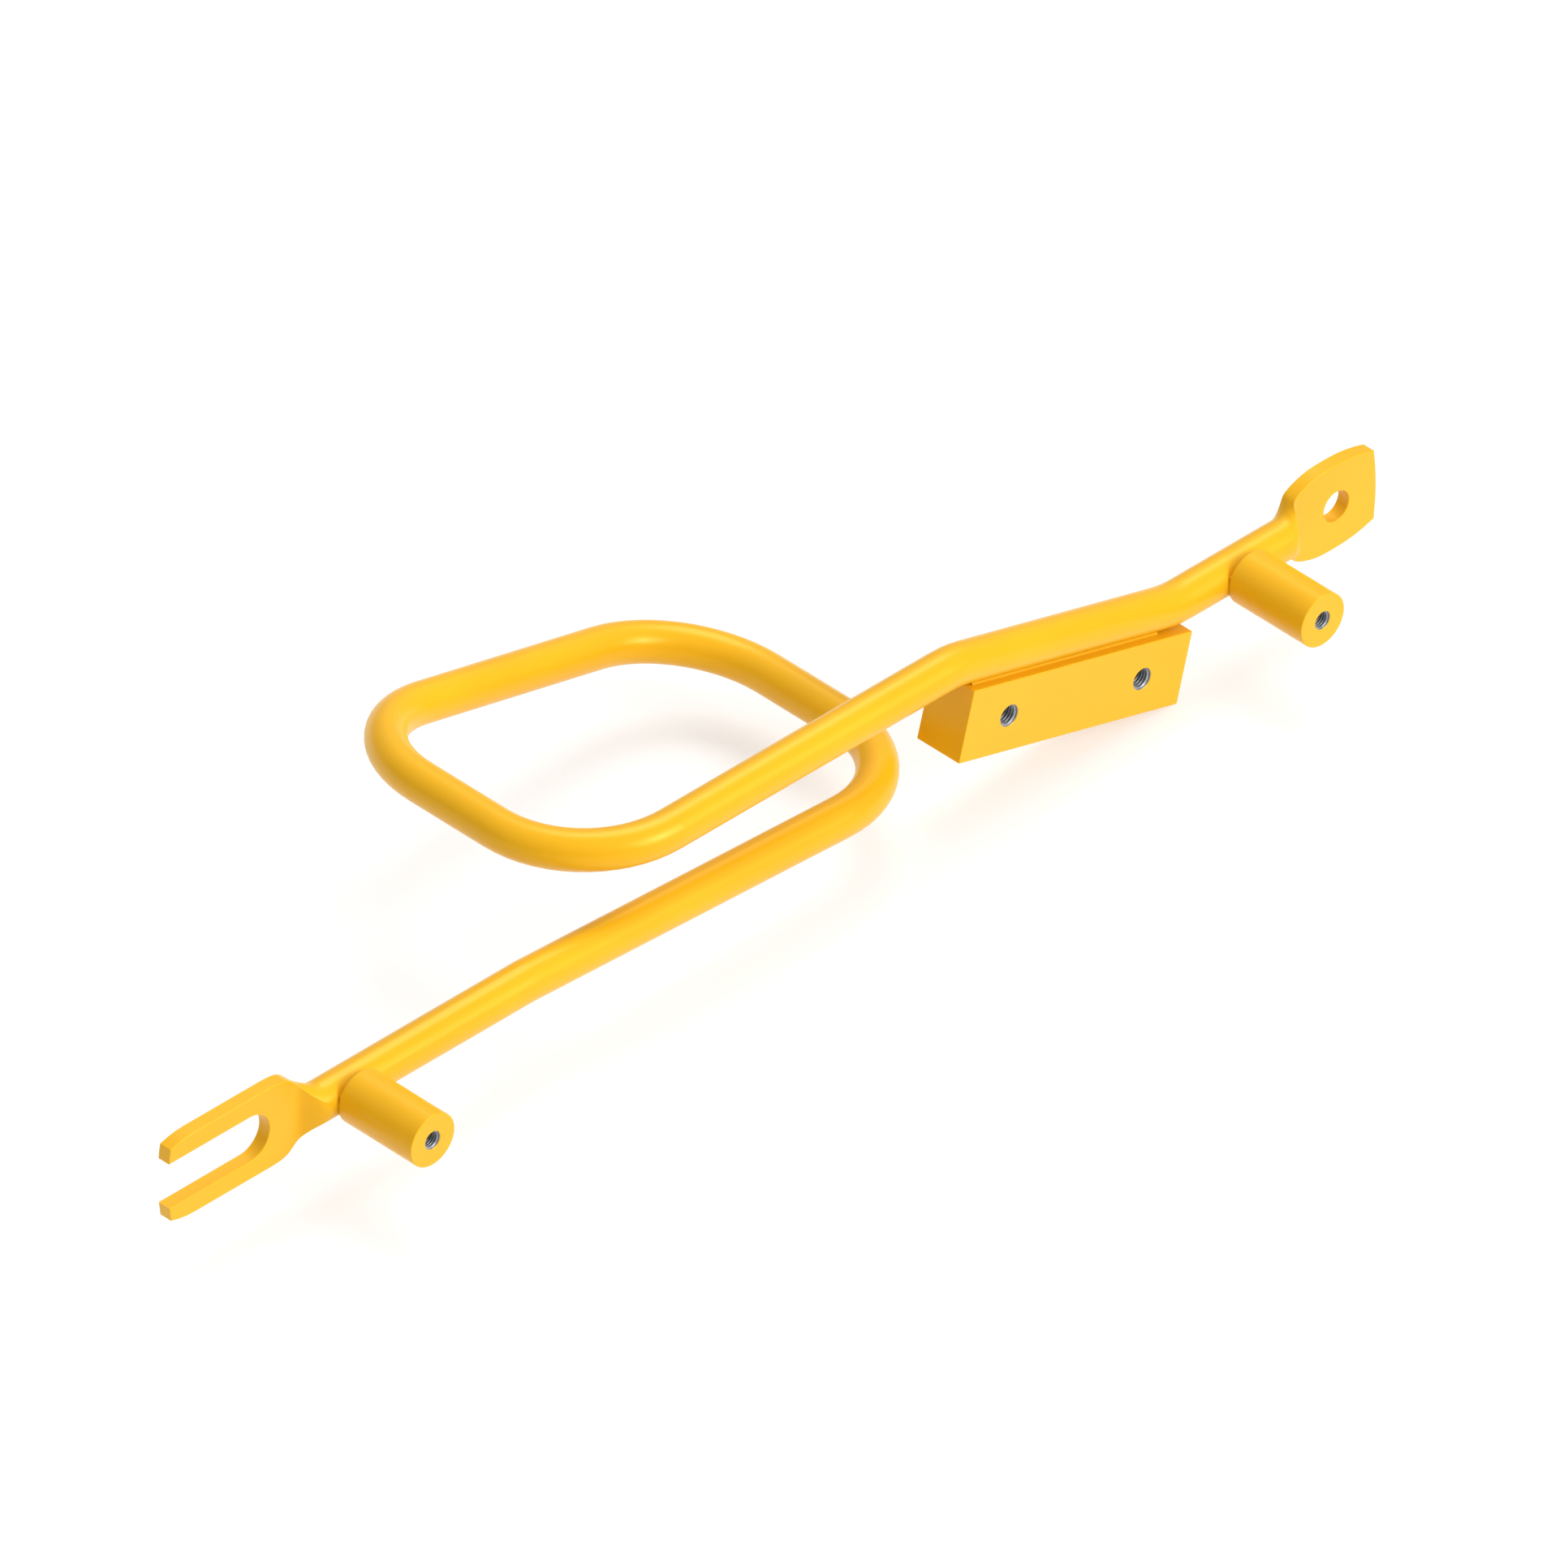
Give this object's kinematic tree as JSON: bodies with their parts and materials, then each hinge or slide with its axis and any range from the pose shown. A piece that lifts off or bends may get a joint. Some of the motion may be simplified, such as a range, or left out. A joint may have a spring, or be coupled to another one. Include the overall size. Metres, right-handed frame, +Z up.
{
  "type": "bent bar bow",
  "caption": "Rigid bent round bar with a raised side loop, a forked end, an eye end, threaded bosses and a threaded block.",
  "frame": {"origin": "midway between the mouths of the two boss threads, in the plane of the boss faces", "axes": "+X along the bar from the fork end to the eye end, +Z up, -Y the way the bosses point"},
  "size_m": [0.835, 0.2485, 0.1048],
  "materials": {
    "bar_paint": "smooth gloss powder coat, golden yellow",
    "boss_paint": "smooth gloss powder coat, golden yellow; threads left bare steel",
    "block_paint": "smooth gloss powder coat, golden yellow; threads left bare steel",
    "weld_paint": "gloss powder coat over rippled weld metal"
  },
  "bodies": {
    "root": {"bow_bar": "bar_paint", "fork_boss": "boss_paint", "eye_boss": "boss_paint", "threaded_block": "block_paint", "fork_boss_upper_weld": "weld_paint", "fork_boss_lower_weld": "weld_paint", "eye_boss_upper_weld": "weld_paint", "eye_boss_lower_weld": "weld_paint", "block_front_weld": "weld_paint", "block_rear_weld": "weld_paint"}
  },
  "joints": []
}
